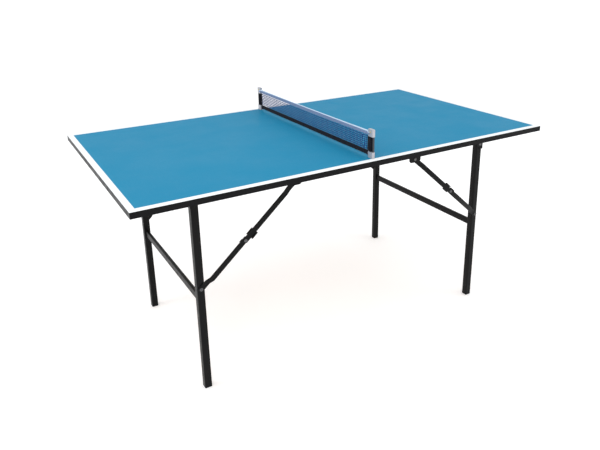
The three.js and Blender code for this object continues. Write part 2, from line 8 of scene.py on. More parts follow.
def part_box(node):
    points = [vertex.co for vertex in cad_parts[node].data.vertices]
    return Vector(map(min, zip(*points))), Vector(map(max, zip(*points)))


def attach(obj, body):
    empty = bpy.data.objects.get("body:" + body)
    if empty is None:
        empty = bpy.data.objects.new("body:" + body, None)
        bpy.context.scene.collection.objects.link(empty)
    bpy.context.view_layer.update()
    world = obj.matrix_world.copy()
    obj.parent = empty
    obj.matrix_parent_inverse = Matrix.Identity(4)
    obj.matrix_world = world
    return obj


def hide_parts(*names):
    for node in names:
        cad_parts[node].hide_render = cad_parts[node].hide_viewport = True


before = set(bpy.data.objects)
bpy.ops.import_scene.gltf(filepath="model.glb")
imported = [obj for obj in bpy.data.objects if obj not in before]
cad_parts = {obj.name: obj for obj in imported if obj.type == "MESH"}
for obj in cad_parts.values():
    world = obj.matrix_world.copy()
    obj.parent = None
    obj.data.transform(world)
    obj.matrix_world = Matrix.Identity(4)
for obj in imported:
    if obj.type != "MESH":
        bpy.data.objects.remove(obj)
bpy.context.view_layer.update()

MM = 0.001
GAP = 0.3 * MM  # between neighbouring CAD pieces
CORNERS = [f"{side}_{row}" for side in ("left", "right") for row in ("front", "rear")]
NET_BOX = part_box("net_mesh")

# ---------------------------------------------------------------- sizes that only the looks need
EDGE_ROUNDING = 0.4 * MM
PAINT_ROUNDING = 0.1 * MM
BOARD_ROUNDING = 0.3 * MM
SHEET_ROUNDING = 0.5 * MM
BLOCK_ROUNDING = 1.1 * MM

LINE_LAP = 0.5 * MM  # the border line's paint over the blue face
LINE_PROUD = 0.12 * MM

SCREW_HEAD_RADIUS = 4.1 * MM
SCREW_HEAD_HEIGHT = 2.3 * MM
SCREW_SHANK_RADIUS = 2.0 * MM
SCREW_SHANK_LENGTH = 6 * MM  # to its point's start
SCREW_RECESS = (4.6 * MM, 1.05 * MM, 3 * MM)  # one wing's length and width, and the cutter's height
SCREW_INSET = 8 * MM  # bracket end to screw
LEG_FLANGE = 16 * MM  # leg bracket's flange beyond each cheek
BRACKET_SHEET = 2 * MM

LEG_RIVET_HEAD = (6 * MM, 3 * MM)  # radius and height
STAY_RIVET_HEAD = (5 * MM, 2 * MM)
SHANK_CHAMFER = 0.3 * MM

WELD_RADIUS = 1.5 * MM
WELD_RIPPLE = 1.5 * MM
TUBE_CORNER = 2 * MM

NET_CELL = (7.2 * MM, 6.3 * MM)  # along Y and along Z
NET_THREAD = (2.0 * MM, 0.8 * MM)  # a flat thread's width and thickness
NET_HIDDEN = 1.5 * MM  # the mesh's edge inside its tapes and hems
BEAD_RADIUS = 1.5 * MM  # the cord folded into the top tape
HEM_CLOTH = 1.1 * MM  # half of a hem flap's thickness
HEM_SLACK = 0.4 * MM  # the CAD sleeve's face to the hem's, for its folds
WEAVE_PERIOD = 0.9 * MM
STITCH_PITCH = 4 * MM
STITCH_LENGTH = 2.6 * MM
STITCH_RADIUS = 0.28 * MM
TOP_SEAM = (1.6 * MM, 0.88 * MM)  # up from the tape's foot, and out from its middle
BOTTOM_SEAM = (2.6 * MM, 0.95 * MM)  # down from the tape's top, and out from its middle
TAB_CLOTH = 0.45 * MM  # half of the end tab's thickness
TAB_ROUNDING = 0.3 * MM
PIN_HEAD = (3.0 * MM, 1.7 * MM)
PIN_SHANK = (1.2 * MM, 3 * MM)  # radius and length
PIN_DROP = 8 * MM  # post's top to the pin
PIN_SINK = 0.3 * MM  # of the head into the post's side
SAG = 1.6 * MM  # the top of the net at its middle
CREASE_DEPTH = 5.0 * MM
CREASE_WIDTH = 4.2 * MM


# ---------------------------------------------------------------- camera and studio
def place_camera():
    eye = Vector((-0.9647, -1.6660, 1.1578))
    aim = Vector((-0.1292, -0.3148, 0.6300))
    roll = math.radians(-0.42)
    data = bpy.data.cameras.new("camera")
    data.sensor_width = 36
    data.lens = 36.11
    data.shift_x = -0.0417
    data.shift_y = -0.105
    camera = bpy.data.objects.new("camera", data)
    turn = (aim - eye).to_track_quat("-Z", "Y").to_matrix() @ Matrix.Rotation(roll, 3, "Z")
    camera.matrix_world = Matrix.Translation(eye) @ turn.to_4x4()
    bpy.context.scene.collection.objects.link(camera)
    bpy.context.scene.camera = camera


def area_light(name, place, aim, size, power, color=(1, 1, 1)):
    data = bpy.data.lights.new(name, "AREA")
    data.shape = "RECTANGLE"
    data.size, data.size_y = size
    data.energy = power
    data.color = color
    lamp = bpy.data.objects.new(name, data)
    lamp.location = place
    lamp.rotation_mode = "QUATERNION"
    lamp.rotation_quaternion = (Vector(aim) - Vector(place)).to_track_quat("-Z", "Y")
    bpy.context.scene.collection.objects.link(lamp)


def build_studio():
    scene = bpy.context.scene
    scene.view_settings.view_transform = "Standard"
    world = bpy.data.worlds.new("studio")
    world.use_nodes = True
    background = world.node_tree.nodes["Background"]
    background.inputs["Color"].default_value = (0.985, 0.99, 1.0, 1)
    background.inputs["Strength"].default_value = 1.04
    scene.world = world
    area_light("key", (-1.6, -2.4, 2.6), (0, 0, 0.5), (1.6, 1.6), 26)
    area_light("window", (-3.0, 0.6, 1.8), (-0.4, 0, 0.4), (1.2, 1.6), 16)
    area_light("fill", (2.6, -1.8, 2.2), (0, 0, 0.4), (1.4, 1.4), 10)

    bpy.ops.mesh.primitive_plane_add(size=80)
    floor = bpy.context.object
    floor.name = "studio_floor"
    floor.data.materials.append(floor_paint())


# ---------------------------------------------------------------- materials
class Surface:
    """A Principled material, with short calls for the nodes that feed it."""

    def __init__(self, name, **fixed):
        self.material = bpy.data.materials.new(name)
        self.material.use_nodes = True
        self.tree = self.material.node_tree
        self.shader = self.tree.nodes["Principled BSDF"]
        self.here = self.add("ShaderNodeTexCoord").outputs["Object"]
        for socket, value in fixed.items():
            self.shader.inputs[socket.replace("_", " ")].default_value = value

    def feed(self, socket, value):
        if isinstance(value, bpy.types.NodeSocket):
            self.tree.links.new(value, socket)
        else:
            socket.default_value = value

    def add(self, kind, inputs=None, **settings):
        node = self.tree.nodes.new(kind)
        for name, value in settings.items():
            setattr(node, name, value)
        for name, value in (inputs or {}).items():
            self.feed(node.inputs[name], value)
        return node

    def stretched(self, stretch, turn=(0, 0, 0)):
        inputs = {"Vector": self.here, "Scale": stretch, "Rotation": turn}
        return self.add("ShaderNodeMapping", inputs).outputs["Vector"]

    def noise(self, scale, detail=3.0, roughness=0.5, place=None):
        inputs = {"Vector": place or self.here, "Scale": scale, "Detail": detail, "Roughness": roughness}
        return self.add("ShaderNodeTexNoise", inputs).outputs["Fac"]

    def cells(self, scale, place=None):
        inputs = {"Vector": place or self.here, "Scale": scale}
        return self.add("ShaderNodeTexVoronoi", inputs).outputs["Distance"]

    def axis(self, name):
        return self.add("ShaderNodeSeparateXYZ", {"Vector": self.here}).outputs[name]

    def math(self, operation, a, b=0.0):
        node = self.add("ShaderNodeMath", operation=operation)
        self.feed(node.inputs[0], a)
        self.feed(node.inputs[1], b)
        return node.outputs[0]

    def waves(self, axis_name, period):
        turns = self.math("MULTIPLY", self.axis(axis_name), 2 * math.pi / period)
        return self.math("SINE", turns)

    def ranged(self, value, low, high, to_low=0.0, to_high=1.0):
        inputs = {"Value": value, "From Min": low, "From Max": high, "To Min": to_low, "To Max": to_high}
        return self.add("ShaderNodeMapRange", inputs).outputs["Result"]

    def mixed(self, share, a, b):
        node = self.add("ShaderNodeMix", data_type="RGBA")
        colors = [socket for socket in node.inputs if socket.type == "RGBA"]
        self.feed(node.inputs[0], share)
        for socket, value in zip(colors, (a, b)):
            self.feed(socket, value if isinstance(value, bpy.types.NodeSocket) else (*value, 1))
        return next(socket for socket in node.outputs if socket.type == "RGBA")

    def color(self, value):
        self.feed(self.shader.inputs["Base Color"], value)

    def rough(self, value):
        self.feed(self.shader.inputs["Roughness"], value)

    def bump(self, *layers):
        """Each layer is a height and its depth in metres."""
        normal = None
        for height, depth in layers:
            inputs = {"Height": height, "Distance": depth, "Strength": 1.0}
            if normal is not None:
                inputs["Normal"] = normal
            normal = self.add("ShaderNodeBump", inputs).outputs["Normal"]
        self.feed(self.shader.inputs["Normal"], normal)


def floor_paint():
    s = Surface("floor_paint", Specular_IOR_Level=0.1, Emission_Color=(1, 1, 1, 1), Emission_Strength=0.20)
    s.color(s.mixed(s.noise(0.6, 2), (0.93, 0.93, 0.935), (0.96, 0.96, 0.96)))
    s.rough(s.ranged(s.noise(3), 0.3, 0.7, 0.75, 0.9))
    return s.material


def blue_paint():
    """Rolled satin paint: slow shade changes, a fine roller texture and a few faint ball marks."""
    s = Surface("blue_paint", Specular_IOR_Level=0.06)
    tone = s.mixed(s.noise(2.2, 3), (0.010, 0.218, 0.385), (0.014, 0.240, 0.410))
    grain = s.mixed(s.ranged(s.noise(420, 2), 0.35, 0.65, 0, 0.35), tone, (0.006, 0.190, 0.350))
    marks = s.ranged(s.noise(26, 5, 0.62), 0.64, 0.74, 0, 0.07)
    s.color(s.mixed(marks, grain, (0.13, 0.35, 0.52)))
    s.rough(s.math("ADD", s.ranged(s.noise(9, 4), 0.3, 0.7, 0.46, 0.56), s.math("MULTIPLY", marks, 0.6)))
    s.bump((s.noise(900, 2), 0.00012), (s.noise(160, 2), 0.00010))
    return s.material


def white_paint():
    s = Surface("white_line_paint", Specular_IOR_Level=0.2)
    clean = s.mixed(s.noise(30, 4), (0.78, 0.81, 0.82), (0.85, 0.875, 0.88))
    s.color(s.mixed(s.ranged(s.noise(75, 6, 0.65), 0.60, 0.72, 0, 0.35), clean, (0.56, 0.60, 0.61)))
    s.rough(s.ranged(s.noise(60, 4), 0.3, 0.7, 0.38, 0.52))
    s.bump((s.noise(800, 2), 0.00012), (s.noise(120, 2), 0.00010))
    return s.material


def fibreboard():
    """Bare pressed fibre: short fibres in all directions, darker flecks and slow patches."""
    s = Surface("fibreboard", Specular_IOR_Level=0.25)
    fibres = s.noise(340, 5, 0.7, s.stretched((1, 0.22, 1), (0, 0, 0.5)))
    crossing = s.noise(300, 5, 0.7, s.stretched((0.25, 1, 1), (0, 0, -0.4)))
    depth = s.math("ADD", fibres, crossing)
    body = s.mixed(s.ranged(depth, 0.75, 1.25), (0.235, 0.140, 0.070), (0.42, 0.28, 0.155))
    patches = s.mixed(s.ranged(s.noise(5, 4), 0.35, 0.7, 0, 0.4), body, (0.30, 0.185, 0.10))
    s.color(s.mixed(s.ranged(s.cells(210), 0.02, 0.14, 0.75, 0), patches, (0.12, 0.068, 0.035)))
    s.rough(s.ranged(s.noise(60, 3), 0.3, 0.7, 0.72, 0.9))
    s.bump((depth, 0.00025))
    return s.material


def edge_banding():
    """Black banding with a pearled moulding texture and light handling marks."""
    s = Surface("edge_banding", Specular_IOR_Level=0.10)
    tone = s.mixed(s.noise(18, 4), (0.0030, 0.0030, 0.0036), (0.0056, 0.0056, 0.0064))
    rubs = s.ranged(s.noise(55, 7, 0.7, s.stretched((0.35, 0.35, 1))), 0.60, 0.75, 0, 0.5)
    s.color(s.mixed(rubs, tone, (0.020, 0.020, 0.022)))
    s.rough(s.ranged(s.noise(40, 4), 0.3, 0.7, 0.34, 0.5))
    s.bump((s.cells(1500), 0.00006), (s.noise(300, 3), 0.00010))
    return s.material


def powder_coat(name, scuff_low, scuff_high, scuff):
    """Satin black powder coat with orange peel, and scuffs that gather between two heights."""
    s = Surface(name, Specular_IOR_Level=0.12)
    tone = s.mixed(s.noise(14, 4), (0.0018, 0.0018, 0.0020), (0.0040, 0.0040, 0.0044))
    dust = s.mixed(s.ranged(s.noise(110, 6, 0.7), 0.58, 0.75, 0, 0.45), tone, (0.013, 0.0126, 0.0122))
    fine = s.ranged(s.noise(260, 7, 0.72, s.stretched((1, 1, 0.35))), 0.60, 0.68, 0, 1)
    where = s.ranged(s.axis("Z"), scuff_low, scuff_high, scuff, 0)
    s.color(s.mixed(s.math("MULTIPLY", fine, where), dust, (0.060, 0.059, 0.057)))
    s.rough(s.ranged(s.noise(70, 4), 0.3, 0.7, 0.32, 0.47))
    s.bump((s.noise(620, 2), 0.00016), (s.noise(2200, 2), 0.00003))
    return s.material


def worn_edge():
    """The same coat where an edge has been rubbed: thinner, greyer, and bare in a few specks."""
    s = Surface("worn_edge", Specular_IOR_Level=0.3)
    bare = s.ranged(s.noise(170, 6, 0.7), 0.58, 0.66, 0, 1)
    s.color(s.mixed(bare, (0.010, 0.010, 0.0105), (0.16, 0.157, 0.15)))
    s.feed(s.shader.inputs["Metallic"], s.math("MULTIPLY", bare, 0.85))
    s.rough(s.ranged(bare, 0, 1, 0.42, 0.34))
    s.bump((s.noise(620, 2), 0.00010))
    return s.material


def rivet_steel(name="rivet_steel", low=(0.055, 0.055, 0.058), high=(0.15, 0.15, 0.155)):
    s = Surface(name, Metallic=0.9)
    s.color(s.mixed(s.ranged(s.noise(260, 5, 0.65), 0.35, 0.65), low, high))
    s.rough(s.ranged(s.noise(180, 5), 0.3, 0.7, 0.28, 0.48))
    s.bump((s.noise(900, 4), 0.00008))
    return s.material


def moulded_plastic():
    s = Surface("foot_plastic", Specular_IOR_Level=0.18)
    scuffs = s.ranged(s.noise(150, 6, 0.7), 0.55, 0.7, 0, 1)
    low = s.ranged(s.axis("Z"), 0, 5 * MM, 0.8, 0.1)
    s.color(s.mixed(s.math("MULTIPLY", scuffs, low), (0.0055, 0.0055, 0.006), (0.06, 0.059, 0.057)))
    s.rough(s.ranged(s.noise(90, 4), 0.3, 0.7, 0.5, 0.68))
    s.bump((s.cells(1700), 0.00008), (scuffs, 0.00005))
    return s.material


def silver_paint():
    """Grey metallic enamel on the blocks: fine flake, soft peel and a few darker rubs. The strip and the rod
    between a post's base and head are coloured near black."""
    s = Surface("silver_paint", Metallic=0.35, Specular_IOR_Level=0.5)
    flake = s.mixed(s.ranged(s.cells(2600), 0.1, 0.7), (0.50, 0.50, 0.53), (0.38, 0.38, 0.41))
    enamel = s.mixed(s.ranged(s.noise(120, 6, 0.7), 0.60, 0.72, 0, 0.5), flake, (0.24, 0.24, 0.25))
    base_top, head_bottom = (corner.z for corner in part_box("net_sleeve_front"))
    over_base = s.ranged(s.axis("Z"), base_top - GAP, base_top)
    under_head = s.ranged(s.axis("Z"), head_bottom, head_bottom + GAP, 1, 0)
    s.color(s.mixed(s.math("MULTIPLY", over_base, under_head), enamel, (0.045, 0.045, 0.050)))
    s.rough(s.ranged(s.noise(150, 4), 0.3, 0.7, 0.32, 0.45))
    s.bump((s.noise(700, 2), 0.00010))
    return s.material


def weave_cloth(name, sheen):
    """Close plain weave along Y and Z, with how far its threads stand up, from 0 to 1."""
    s = Surface(name, Sheen_Weight=sheen, Specular_IOR_Level=0.1)
    weave = s.math("MULTIPLY", s.waves("Y", WEAVE_PERIOD), s.waves("Z", WEAVE_PERIOD))
    s.rough(s.ranged(s.noise(200, 3), 0.3, 0.7, 0.72, 0.88))
    s.bump((weave, 0.00012), (s.noise(140, 3), 0.00020))
    return s, s.ranged(weave, -1, 1)


def dark_cloth():
    s, thread = weave_cloth("dark_tape", sheen=0.05)
    patches = s.ranged(s.noise(90, 5), 0.3, 0.7, 0.6, 1)
    # Painted shade in the weave: the colour is darker in the dips between threads and lighter where they
    # stand up, scaled by random patches of tone.
    shade = s.math("MULTIPLY", thread, patches)
    s.color(s.mixed(shade, (0.0022, 0.0026, 0.0055), (0.0085, 0.0095, 0.0175)))
    return s.material


def pale_cloth():
    """The top tape: pale along its corded edge, its faces below painted darker and bluer, a painted shade
    with a painted reflection of the blue table.
    """
    s, thread = weave_cloth("pale_tape", sheen=0.1)
    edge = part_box("net_top_tape")[1].z - 2 * BEAD_RADIUS
    # Painted shade and a painted reflection of the blue table on the tape's faces. In face and bead alike the
    # colour is lighter on raised threads and darker in the weave's dips, also painted shade.
    face = s.mixed(thread, (0.145, 0.205, 0.345), (0.220, 0.290, 0.450))
    bead = s.mixed(thread, (0.52, 0.64, 0.78), (0.74, 0.84, 0.95))
    s.color(s.mixed(s.ranged(s.axis("Z"), edge - 1.6 * MM, edge), face, bead))
    return s.material


def net_thread():
    """Twisted nylon: a fine diagonal twist along the threads."""
    s = Surface("net_thread", Sheen_Weight=0.05, Specular_IOR_Level=0.15)
    along = s.math("ADD", s.axis("Y"), s.math("ADD", s.axis("Z"), s.axis("X")))
    twist = s.math("SINE", s.math("MULTIPLY", along, 2 * math.pi / (0.8 * MM)))
    # Painted shade along the twist: the colour is darker in its grooves and lighter on its ridges.
    s.color(s.mixed(s.ranged(twist, -1, 1), (0.008, 0.034, 0.125), (0.018, 0.072, 0.245)))
    s.rough(s.ranged(s.noise(300, 3), 0.3, 0.7, 0.5, 0.66))
    s.bump((twist, 0.00012))
    return s.material


# ---------------------------------------------------------------- mesh helpers
def link(name, mesh, material):
    mesh.materials.clear()
    mesh.materials.append(material)
    piece = bpy.data.objects.new(name, mesh)
    bpy.context.scene.collection.objects.link(piece)
    return piece


def shaded(mesh, angle=40):
    mesh.polygons.foreach_set("use_smooth", [True] * len(mesh.polygons))
    mesh.set_sharp_from_angle(angle=math.radians(angle))
    return mesh


def mesh_of(name, vertices, faces, angle=40):
    mesh = bpy.data.meshes.new(name)
    bm = bmesh.new()
    made = [bm.verts.new(v) for v in vertices]
    for face in faces:
        bm.faces.new([made[i] for i in face])
    bmesh.ops.remove_doubles(bm, verts=bm.verts, dist=1e-6)
    bmesh.ops.dissolve_degenerate(bm, edges=bm.edges, dist=1e-7)
    bmesh.ops.recalc_face_normals(bm, faces=bm.faces)
    bm.to_mesh(mesh)
    bm.free()
    return shaded(mesh, angle)


def loft(name, rings, closed_path=False, angle=40):
    """A closed skin through rings of equally many points, capped at both ends or joined end to start."""
    count = len(rings[0])
    vertices = [point for ring in rings for point in ring]
    faces = []
    for i in range(len(rings) if closed_path else len(rings) - 1):
        here, there = i * count, (i + 1) % len(rings) * count
        for k in range(count):
            after = (k + 1) % count
            faces.append([here + k, here + after, there + after, there + k])
    if not closed_path:
        faces.append(list(range(count)))
        faces.append([len(vertices) - count + k for k in range(count)])
    return mesh_of(name, vertices, faces, angle)


def lathe(name, profile, turn_to=Matrix.Identity(4), segments=40, angle=40):
    """A solid of revolution about Z. The profile is (radius, height) points from axis to axis."""
    rings = []
    for radius, height in profile:
        turns = [2 * math.pi * k / segments for k in range(segments)]
        reach = max(radius, 1e-7)
        rings.append([turn_to @ Vector((reach * math.cos(t), reach * math.sin(t), height)) for t in turns])
    return loft(name, rings, angle=angle)


def baked(piece):
    """The piece with its modifiers made part of its mesh."""
    bpy.context.view_layer.update()
    graph = bpy.context.evaluated_depsgraph_get()
    mesh = bpy.data.meshes.new_from_object(piece.evaluated_get(graph))
    piece.modifiers.clear()
    piece.data = mesh
    return piece


def cut(piece, cutters):
    for cutter in cutters:
        modifier = piece.modifiers.new("cut", "BOOLEAN")
        modifier.operation = "DIFFERENCE"
        modifier.solver = "EXACT"
        modifier.object = cutter
    baked(piece)
    for cutter in cutters:
        bpy.data.objects.remove(cutter)
    shaded(piece.data)
    return piece


def ripple(place, scale, seed=0.0):
    """Smooth noise from about -1 to 1."""
    return noise.noise(Vector(place) * scale + Vector((seed, seed * 0.7, seed * 1.3)))


def arc(radius, start, end, steps):
    """Points of an arc about (0, 0), its angles in turns."""
    turns = [2 * math.pi * (start + (end - start) * k / steps) for k in range(steps + 1)]
    return [(radius * math.cos(t), radius * math.sin(t)) for t in turns]


def ride(piece, body):
    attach(piece, body)
    return piece


def dress(node, material, rounding=EDGE_ROUNDING, worn=None, segments=2):
    """A CAD node's own material, with its edges rounded and, if asked for, worn."""
    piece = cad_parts[node]
    mesh = piece.data
    mesh.materials.clear()
    mesh.materials.append(material)
    mesh.materials.append(worn or material)
    if "custom_normal" in mesh.attributes:
        mesh.attributes.remove(mesh.attributes["custom_normal"])
    mesh.polygons.foreach_set("use_smooth", [True] * len(mesh.polygons))
    mesh.polygons.foreach_set("material_index", [0] * len(mesh.polygons))
    weld = piece.modifiers.new("weld", "WELD")
    weld.merge_threshold = 5e-6
    bevel = piece.modifiers.new("rounding", "BEVEL")
    bevel.width = rounding
    bevel.segments = segments
    bevel.limit_method = "ANGLE"
    bevel.angle_limit = math.radians(35)
    bevel.harden_normals = True
    bevel.use_clamp_overlap = True
    bevel.material = 1
    return piece


# ---------------------------------------------------------------- table top
def border_lines(paint):
    """The white border as one band of paint, a little proud of the blue face."""
    low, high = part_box("border_line_front")
    outer = Vector((high.x, -low.y))
    width = high.y - low.y + LINE_LAP
    top, bottom = high.z + LINE_PROUD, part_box("top_board")[1].z
    soft = 0.25 * MM
    section = [(0, bottom), (0, top - soft), (soft * 0.3, top - soft * 0.3), (soft, top),
               (width - PAINT_ROUNDING, top), (width, top - PAINT_ROUNDING), (width, bottom)]
    rings = []
    for sx, sy in ((-1, -1), (1, -1), (1, 1), (-1, 1)):
        rings.append([(sx * (outer.x - inset), sy * (outer.y - inset), z) for inset, z in section])
    piece = link("border_lines", loft("border_lines", rings, closed_path=True), paint)
    ride(piece, "table_top")
    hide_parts(*[f"border_line_{edge}" for edge in ("front", "rear", "left", "right")])


def build_top():
    dress("playing_surface", blue_paint(), rounding=PAINT_ROUNDING)
    dress("top_board", fibreboard(), rounding=BOARD_ROUNDING)
    banding = edge_banding()
    for edge in ("front", "rear", "left", "right"):
        dress(f"edge_band_{edge}", banding)
    border_lines(white_paint())


# ---------------------------------------------------------------- fasteners
def domed(radius, height, steps=7):
    """Half of a rivet head's outline, from its rim up to its crown, with a small flat and a dimple."""
    rim = 0.22 * height
    turns = [math.pi / 2 * k / steps for k in range(steps)]
    curve = [(radius * math.cos(t), rim + (height - rim) * math.sin(t)) for t in turns]
    dimple = [(0.18 * radius, height), (0.14 * radius, 0.93 * height), (0, 0.90 * height)]
    return [(radius * 0.985, 0), *curve, *dimple]


def rivet(name, node, head, body, steel, outward, both_ends):
    """A rivet along Y in a CAD rivet's place. outward is the sign of Y that its outer head points to."""
    low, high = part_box(node)
    radius, height = head
    centre = (low + high) / 2
    outer_end, inner_end = (high.y, low.y) if outward > 0 else (low.y, high.y)
    length = abs(outer_end - inner_end)
    outer = [(r, length - height + z) for r, z in domed(radius, height)]
    shank = radius * 0.5
    if both_ends:
        inner = [(r, height - z) for r, z in reversed(domed(radius, height))]
    else:
        inner = [(0, 0), (shank - SHANK_CHAMFER, 0), (shank, SHANK_CHAMFER)]
    profile = [*inner, (shank, inner[-1][1]), (shank, length - height), *outer]
    along = Matrix.Rotation(-outward * math.pi / 2, 4, "X")
    place = Matrix.Translation((centre.x, inner_end, centre.z)) @ along
    piece = link(name, lathe(name, profile, place), steel)
    ride(piece, body)
    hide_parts(node)


def screw_mesh(steel):
    """A pan head screw with a cross recess, its head pointing down from the origin and a shank above."""
    r, h = SCREW_HEAD_RADIUS, SCREW_HEAD_HEIGHT
    crown = [(r * math.cos(t) ** 0.6, -0.3 * h - 0.7 * h * math.sin(t)) for t in
             (math.pi / 2 * k / 8 for k in range(8))]
    shank = SCREW_SHANK_RADIUS
    tip = [(shank, SCREW_SHANK_LENGTH), (0, SCREW_SHANK_LENGTH + shank)]
    profile = [(0, -h), *reversed(crown), (r, 0), (shank, 0), *tip]
    head = link("screw", lathe("screw", profile, segments=32), steel)
    wings = []
    for turn in (0, math.pi / 2):
        bm = bmesh.new()
        bmesh.ops.create_cube(bm, size=1)
        bmesh.ops.scale(bm, vec=SCREW_RECESS, verts=bm.verts)
        bmesh.ops.rotate(bm, matrix=Matrix.Rotation(turn, 3, "Z"), verts=bm.verts)
        bmesh.ops.translate(bm, vec=(0, 0, -h - 0.2 * MM), verts=bm.verts)
        wing = bpy.data.meshes.new("wing")
        bm.to_mesh(wing)
        bm.free()
        wings.append(link("wing", wing, steel))
    cut(head, wings)
    mesh = head.data
    bpy.data.objects.remove(head)
    return mesh


def screws(name, places, mesh, steel):
    """One piece of several screws, each turned its own way."""
    joined = bmesh.new()
    for i, place in enumerate(places):
        start = len(joined.verts)
        joined.from_mesh(mesh)
        joined.verts.ensure_lookup_table()
        turned = Matrix.Translation(place) @ Matrix.Rotation(0.9 * i + 0.3, 4, "Z")
        bmesh.ops.transform(joined, verts=joined.verts[start:], matrix=turned)
    out = bpy.data.meshes.new(name)
    joined.to_mesh(out)
    joined.free()
    ride(link(name, shaded(out), steel), "table_top")


def build_screws():
    steel = rivet_steel("screw_zinc", (0.30, 0.29, 0.26), (0.55, 0.54, 0.50))
    mesh = screw_mesh(steel)
    for corner in CORNERS:
        low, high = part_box(f"leg_bracket_{corner}")
        under = high.z - BRACKET_SHEET
        xs = (low.x + SCREW_INSET, high.x - SCREW_INSET)
        ys = (low.y + LEG_FLANGE / 2, high.y - LEG_FLANGE / 2)
        screws(f"leg_bracket_screws_{corner}", [(x, y, under) for x in xs for y in ys], mesh, steel)
        low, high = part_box(f"stay_bracket_{corner}")
        y = (low.y + high.y) / 2
        xs = (low.x + SCREW_INSET, high.x - SCREW_INSET)
        screws(f"stay_bracket_screws_{corner}", [(x, y, under) for x in xs], mesh, steel)


def build_rivets():
    steel = rivet_steel()
    for corner in CORNERS:
        outward = -1 if corner.endswith("front") else 1
        rivet(f"leg_pin_{corner}", f"leg_rivet_{corner}", LEG_RIVET_HEAD, "table_top", steel, outward, True)
        for part, body in (("upper", "table_top"), ("middle", f"stay_upper_{corner}")):
            node = f"stay_{part}_rivet_{corner}"
            rivet(f"stay_{part}_pin_{corner}", node, STAY_RIVET_HEAD, body, steel, outward, True)
        node, body = f"stay_lower_rivet_{corner}", f"stay_lower_{corner}"
        rivet(f"stay_lower_pin_{corner}", node, STAY_RIVET_HEAD, body, steel, outward, False)


# ---------------------------------------------------------------- leg frames, brackets and stays
def weld_bead(name, node, y, body, steel):
    """A fillet weld round the end of a crossbar, rippled as a hand-held torch leaves it."""
    low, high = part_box(node)
    cx, cz = (low.x + high.x) / 2, (low.z + high.z) / 2
    half_x, half_z = (high.x - low.x) / 2, (high.z - low.z) / 2
    path = []
    for sx, sz, start in ((1, 1, 0), (-1, 1, 0.25), (-1, -1, 0.5), (1, -1, 0.75)):
        for dx, dz in arc(TUBE_CORNER, start, start + 0.25, 6):
            path.append((sx * (half_x - TUBE_CORNER) + dx, sz * (half_z - TUBE_CORNER) + dz))
    dense = []
    for (x0, z0), (x1, z1) in zip(path, path[1:] + path[:1]):
        steps = max(1, round(math.hypot(x1 - x0, z1 - z0) / (0.5 * MM)))
        dense += [(x0 + (x1 - x0) * k / steps, z0 + (z1 - z0) * k / steps) for k in range(steps)]
    rings = []
    along_bar = Vector((0, 1, 0))
    travelled = 0.0
    for i, (x, z) in enumerate(dense):
        before, after = dense[i - 1], dense[(i + 1) % len(dense)]
        travelled += math.hypot(x - before[0], z - before[1])
        outwards = Vector((after[1] - before[1], 0, before[0] - after[0])).normalized()
        if outwards.dot(Vector((x, 0, z))) < 0:
            outwards = -outwards
        steady = 0.13 * math.sin(travelled * 2 * math.pi / WELD_RIPPLE)
        size = WELD_RADIUS * (1 + steady + 0.2 * ripple((x, y, z), 300))
        centre = Vector((cx + x, y, cz + z))
        section = (2 * math.pi * k / 10 for k in range(10))
        rings.append([centre + size * (math.cos(t) * outwards + math.sin(t) * along_bar) for t in section])
    piece = link(name, loft(name, rings, closed_path=True, angle=75), steel)
    ride(piece, body)


def build_frames():
    coat = powder_coat("leg_coat", 0.02, 0.16, 0.8)
    bracket_coat = powder_coat("bracket_coat", 0.5, 0.6, 0.25)
    edge = worn_edge()
    plastic = moulded_plastic()
    for corner in CORNERS:
        dress(f"leg_{corner}", coat, worn=edge)
        dress(f"foot_cap_{corner}", plastic)
        dress(f"leg_bracket_{corner}", bracket_coat, SHEET_ROUNDING, edge)
        dress(f"stay_bracket_{corner}", bracket_coat, SHEET_ROUNDING, edge)
    for side in ("left", "right"):
        node = f"crossbar_{side}"
        dress(node, coat, worn=edge)
        low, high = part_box(node)
        weld_bead(f"crossbar_weld_{side}_front", node, low.y, f"leg_frame_{side}", coat)
        weld_bead(f"crossbar_weld_{side}_rear", node, high.y, f"leg_frame_{side}", coat)


def build_stays():
    coat = powder_coat("stay_coat", 0.3, 0.62, 0.35)
    edge = worn_edge()
    for corner in CORNERS:
        dress(f"stay_lower_bar_{corner}", coat, SHEET_ROUNDING, edge)
        dress(f"stay_upper_bar_{corner}", coat, SHEET_ROUNDING, edge)


# ---------------------------------------------------------------- net set
def net_sway(y, z):
    """How far the stretched mesh stands out of its plane: slow waves and a slanted crease by one post."""
    low, high = NET_BOX
    height = (z - low.z) / (high.z - low.z)
    slack = math.sin(math.pi * min(1, max(0, height)))
    waves = 0.5 * MM * math.sin(y * 31 + 0.4) + 0.9 * MM * ripple((0, y, z), 14)
    crease_at = low.y + (19 + 16 * height + 2 * math.sin(6 * height)) * MM
    crease = CREASE_DEPTH * math.exp(-(((y - crease_at) / CREASE_WIDTH) ** 2))
    return slack * waves - min(1, 2.4 * slack) * crease


def net_sag(y):
    """How far the top of the net hangs below the line between the posts."""
    return SAG * (1 - (y / NET_BOX[1].y) ** 2)


def cell_ring(cell_y, cell_z, margin_y, margin_z):
    """One cell of the mesh as eight quads between its square outline and its round-cornered hole."""
    outline = [(0, 0), (0.5, 0), (1, 0), (1, 0.5), (1, 1), (0.5, 1), (0, 1), (0, 0.5)]
    hole = []
    for u, v in outline:
        corner = 1.35 if u != 0.5 and v != 0.5 else 1
        hole.append((min(max(u, margin_y * corner), 1 - margin_y * corner),
                     min(max(v, margin_z * corner), 1 - margin_z * corner)))
    points = [((cell_y + u), (cell_z + v)) for u, v in outline + hole]
    return points, [[k, (k + 1) % 8, 8 + (k + 1) % 8, 8 + k] for k in range(8)]


